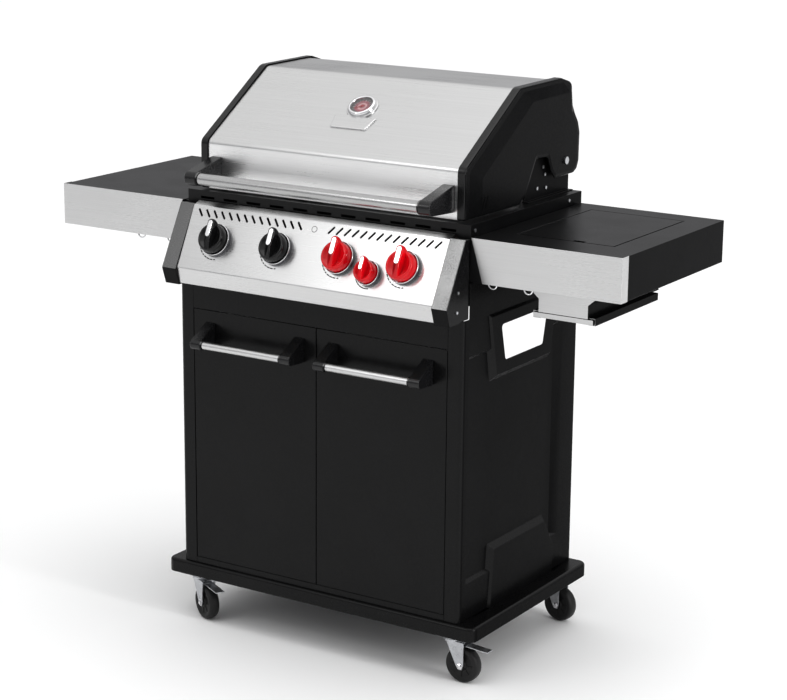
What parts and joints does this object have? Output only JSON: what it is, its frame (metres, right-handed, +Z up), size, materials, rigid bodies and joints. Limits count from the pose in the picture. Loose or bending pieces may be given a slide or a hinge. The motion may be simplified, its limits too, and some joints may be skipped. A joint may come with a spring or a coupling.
{
  "type": "gas barbecue grill",
  "caption": "Gas barbecue grill on a wheeled cabinet: hinged steel lid, sloping knob panel, side tables, flush side burner lid, double doors and grease trays.",
  "frame": {"origin": "centre of the overall footprint, on the floor under the wheels", "axes": "+X to the right of a cook who faces the knobs, +Y from front to back, +Z up"},
  "size_m": [1.338, 0.5733, 1.172],
  "materials": {
    "black_powder": "semi-gloss powder coat",
    "cart_black": "satin powder coat",
    "brushed_steel": "horizontal brushed",
    "fascia_steel": "fine brushed, bright",
    "zinc_steel": "zinc plated",
    "chrome_trim": "polished",
    "cast_black": "enamelled",
    "cap_black": "cast, painted black",
    "black_plastic": "gloss",
    "red_plastic": "gloss",
    "matte_black_plastic": "satin",
    "tyre_black": "hard rubber",
    "brass_parts": "machined",
    "needle_red": "matte"
  },
  "bodies": {
    "cart": {"base_tray": "cart_black", "side_panel_left": "cart_black", "side_panel_right": "cart_black", "rear_panel": "cart_black", "cart_rails": "cart_black", "door_hardware": "zinc_steel", "fascia_panel": "fascia_steel", "fascia_end_caps": "matte_black_plastic", "knob_bezels": "chrome_trim", "gas_manifold": "brass_parts", "firebox": "black_powder", "cooking_grates": "cast_black", "heat_tents": "brushed_steel", "main_burners": "brushed_steel", "warming_rack": "chrome_trim", "hinge_brackets": "black_powder", "side_table_left": "black_powder", "side_table_right": "black_powder", "table_front_trims": "brushed_steel", "table_brackets": "black_powder", "side_burner_box": "brushed_steel", "side_burner": "cast_black", "caster_plates": "zinc_steel", "fasteners": "zinc_steel"},
    "lid": {"lid_shell": "brushed_steel", "lid_cap_left": "cap_black", "lid_cap_right": "cap_black", "lid_handle_bar": "brushed_steel", "lid_handle_brackets": "black_plastic", "thermometer": "chrome_trim"},
    "thermometer_needle": {"thermometer_needle": "needle_red"},
    "door_left": {"door_left": "cart_black", "door_left_handle_bar": "brushed_steel", "door_left_handle_brackets": "black_plastic"},
    "door_right": {"door_right": "cart_black", "door_right_handle_bar": "brushed_steel", "door_right_handle_brackets": "black_plastic"},
    "grease_tray": {"grease_tray": "zinc_steel"},
    "side_burner_lid": {"side_burner_lid": "black_powder"},
    "side_burner_tray": {"side_burner_tray": "brushed_steel"},
    "knob_far_left": {"knob_far_left": "black_plastic"},
    "valve_stem_far_left": {"valve_stem_far_left": "zinc_steel"},
    "knob_left": {"knob_left": "black_plastic"},
    "valve_stem_left": {"valve_stem_left": "zinc_steel"},
    "knob_right": {"knob_right": "red_plastic"},
    "valve_stem_right": {"valve_stem_right": "zinc_steel"},
    "knob_far_right": {"knob_far_right": "red_plastic"},
    "valve_stem_far_right": {"valve_stem_far_right": "zinc_steel"},
    "knob_side_burner": {"knob_side_burner": "red_plastic"},
    "valve_stem_side_burner": {"valve_stem_side_burner": "zinc_steel"},
    "caster_fork_front_right": {"caster_fork_front_right": "zinc_steel"},
    "caster_wheel_front_right": {"caster_wheel_front_right": "tyre_black"},
    "caster_fork_front_left": {"caster_fork_front_left": "zinc_steel"},
    "caster_wheel_front_left": {"caster_wheel_front_left": "tyre_black"},
    "caster_fork_back_right": {"caster_fork_back_right": "zinc_steel"},
    "caster_wheel_back_right": {"caster_wheel_back_right": "tyre_black"},
    "caster_fork_back_left": {"caster_fork_back_left": "zinc_steel"},
    "caster_wheel_back_left": {"caster_wheel_back_left": "tyre_black"},
    "caster_brake_front_right": {"caster_brake_front_right": "zinc_steel"},
    "caster_brake_front_left": {"caster_brake_front_left": "zinc_steel"}
  },
  "joints": [
    {"name": "lid_hinge", "type": "hinge", "parent": "cart", "child": "lid", "pos_m": [0, 0.2256, 1.00129], "axis": [-1, 0, 0], "range_deg": [0, 85]},
    {"name": "thermometer_needle_turn", "type": "hinge", "parent": "lid", "child": "thermometer_needle", "pos_m": [0, -0.04296, 1.11247], "axis": [0, -0.5374, 0.8433], "range_deg": [-240, 0]},
    {"name": "door_left_hinge", "type": "hinge", "parent": "cart", "child": "door_left", "pos_m": [-0.2962, -0.2004, 0.4], "axis": [0, 0, -1], "range_deg": [0, 95]},
    {"name": "door_right_hinge", "type": "hinge", "parent": "cart", "child": "door_right", "pos_m": [0.2962, -0.2004, 0.4], "axis": [0, 0, 1], "range_deg": [0, 95]},
    {"name": "grease_tray_slide", "type": "slide", "parent": "cart", "child": "grease_tray", "axis": [0, 1, 0], "range_m": [0, 0.33]},
    {"name": "side_burner_lid_hinge", "type": "hinge", "parent": "cart", "child": "side_burner_lid", "pos_m": [0.5025, 0.195, 0.90779], "axis": [-1, 0, 0], "range_deg": [0, 90]},
    {"name": "side_burner_tray_slide", "type": "slide", "parent": "cart", "child": "side_burner_tray", "axis": [0, -1, 0], "range_m": [0, 0.2]},
    {"name": "valve_far_left_turn", "type": "hinge", "parent": "cart", "child": "valve_stem_far_left", "pos_m": [-0.2262, -0.23535, 0.84514], "axis": [0, -0.8902, 0.4555], "range_deg": [0, 180]},
    {"name": "knob_far_left_push", "type": "slide", "parent": "valve_stem_far_left", "child": "knob_far_left", "axis": [0, 0.8902, -0.4555], "range_m": [0, 0.004], "stiffness_N_per_m": 800, "springref_m": -0.002},
    {"name": "valve_left_turn", "type": "hinge", "parent": "cart", "child": "valve_stem_left", "pos_m": [-0.0754, -0.23535, 0.84514], "axis": [0, -0.8902, 0.4555], "range_deg": [0, 180]},
    {"name": "knob_left_push", "type": "slide", "parent": "valve_stem_left", "child": "knob_left", "axis": [0, 0.8902, -0.4555], "range_m": [0, 0.004], "stiffness_N_per_m": 800, "springref_m": -0.002},
    {"name": "valve_right_turn", "type": "hinge", "parent": "cart", "child": "valve_stem_right", "pos_m": [0.0754, -0.23535, 0.84514], "axis": [0, -0.8902, 0.4555], "range_deg": [0, 180]},
    {"name": "knob_right_push", "type": "slide", "parent": "valve_stem_right", "child": "knob_right", "axis": [0, 0.8902, -0.4555], "range_m": [0, 0.004], "stiffness_N_per_m": 800, "springref_m": -0.002},
    {"name": "valve_far_right_turn", "type": "hinge", "parent": "cart", "child": "valve_stem_far_right", "pos_m": [0.2262, -0.23535, 0.84514], "axis": [0, -0.8902, 0.4555], "range_deg": [0, 180]},
    {"name": "knob_far_right_push", "type": "slide", "parent": "valve_stem_far_right", "child": "knob_far_right", "axis": [0, 0.8902, -0.4555], "range_m": [0, 0.004], "stiffness_N_per_m": 800, "springref_m": -0.002},
    {"name": "valve_side_burner_turn", "type": "hinge", "parent": "cart", "child": "valve_stem_side_burner", "pos_m": [0.15, -0.24524, 0.82583], "axis": [0, -0.8902, 0.4555], "range_deg": [0, 180]},
    {"name": "knob_side_burner_push", "type": "slide", "parent": "valve_stem_side_burner", "child": "knob_side_burner", "axis": [0, 0.8902, -0.4555], "range_m": [0, 0.004], "stiffness_N_per_m": 800, "springref_m": -0.002},
    {"name": "caster_front_right_swivel", "type": "hinge", "parent": "cart", "child": "caster_fork_front_right", "pos_m": [0.318, -0.1814, 0.09], "axis": [0, 0, 1], "continuous": true},
    {"name": "caster_front_right_roll", "type": "hinge", "parent": "caster_fork_front_right", "child": "caster_wheel_front_right", "pos_m": [0.341, -0.1814, 0.0375], "axis": [0, 1, 0], "continuous": true},
    {"name": "caster_front_right_brake", "type": "hinge", "parent": "caster_fork_front_right", "child": "caster_brake_front_right", "pos_m": [0.341, -0.1814, 0.08], "axis": [0, 1, 0], "range_deg": [0, 12]},
    {"name": "caster_front_left_swivel", "type": "hinge", "parent": "cart", "child": "caster_fork_front_left", "pos_m": [-0.318, -0.1814, 0.09], "axis": [0, 0, 1], "continuous": true},
    {"name": "caster_front_left_roll", "type": "hinge", "parent": "caster_fork_front_left", "child": "caster_wheel_front_left", "pos_m": [-0.29715, -0.19112, 0.0375], "axis": [0.4226, 0.9063, 0], "continuous": true},
    {"name": "caster_front_left_brake", "type": "hinge", "parent": "caster_fork_front_left", "child": "caster_brake_front_left", "pos_m": [-0.29715, -0.19112, 0.08], "axis": [0.4226, 0.9063, 0], "range_deg": [0, 12]},
    {"name": "caster_back_right_swivel", "type": "hinge", "parent": "cart", "child": "caster_fork_back_right", "pos_m": [0.318, 0.2286, 0.09], "axis": [0, 0, 1], "continuous": true},
    {"name": "caster_back_right_roll", "type": "hinge", "parent": "caster_fork_back_right", "child": "caster_wheel_back_right", "pos_m": [0.34065, 0.22461, 0.0375], "axis": [0.1736, 0.9848, 0], "continuous": true},
    {"name": "caster_back_left_swivel", "type": "hinge", "parent": "cart", "child": "caster_fork_back_left", "pos_m": [-0.318, 0.2286, 0.09], "axis": [0, 0, 1], "continuous": true},
    {"name": "caster_back_left_roll", "type": "hinge", "parent": "caster_fork_back_left", "child": "caster_wheel_back_left", "pos_m": [-0.29578, 0.23455, 0.0375], "axis": [-0.2588, 0.9659, 0], "continuous": true}
  ]
}
